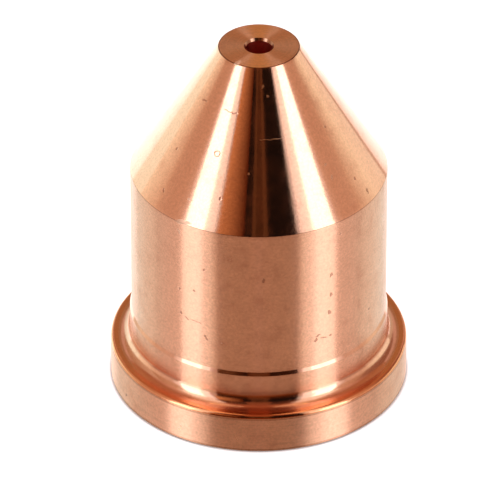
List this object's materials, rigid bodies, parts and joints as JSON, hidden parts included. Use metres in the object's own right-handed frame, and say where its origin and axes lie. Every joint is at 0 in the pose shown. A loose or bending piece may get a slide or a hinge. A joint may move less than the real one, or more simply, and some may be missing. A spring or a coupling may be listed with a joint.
{
  "type": "plasma torch nozzle",
  "caption": "Turned copper nozzle: flanged round body, straight cone to a flat tip, and a stepped bore that narrows to a fine orifice.",
  "frame": {"origin": "on the axis, at the centre of the flange's bottom face", "axes": "+Z along the bore, from the flange's bottom face towards the tip; +X and +Y across the body"},
  "size_m": [0.0186, 0.0186, 0.024],
  "materials": {
    "copper": "fine turned bare copper"
  },
  "bodies": {
    "root": {"nozzle": "copper"}
  },
  "joints": []
}
